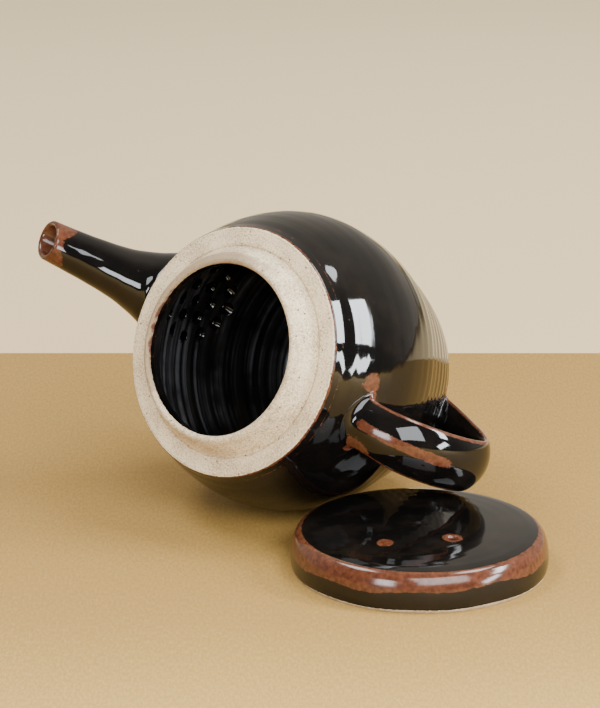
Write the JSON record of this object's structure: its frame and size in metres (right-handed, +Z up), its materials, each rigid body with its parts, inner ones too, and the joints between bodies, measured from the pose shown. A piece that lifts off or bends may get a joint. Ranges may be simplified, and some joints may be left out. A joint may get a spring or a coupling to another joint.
{
  "type": "teapot",
  "caption": "Glazed stoneware teapot lying on its side with its mouth open, with spout, strap handle and a loose cap lid flat beside it.",
  "frame": {"origin": "middle of the footprint, on the table", "axes": "+Z up from the table; the mouth looks towards -X and -Y and 20 degrees up; the lid lies towards +X and -Y"},
  "size_m": [0.2236, 0.2114, 0.1324],
  "materials": {
    "tenmoku_glaze": "high gloss"
  },
  "bodies": {
    "pot": {"pot_body": "tenmoku_glaze", "spout": "tenmoku_glaze", "handle": "tenmoku_glaze"},
    "lid": {"lid": "tenmoku_glaze"}
  },
  "joints": [
    {"name": "lid_slide", "type": "slide", "parent": "pot", "child": "lid", "axis": [0.6, -0.8, 0], "range_m": [0, 0.2]}
  ]
}
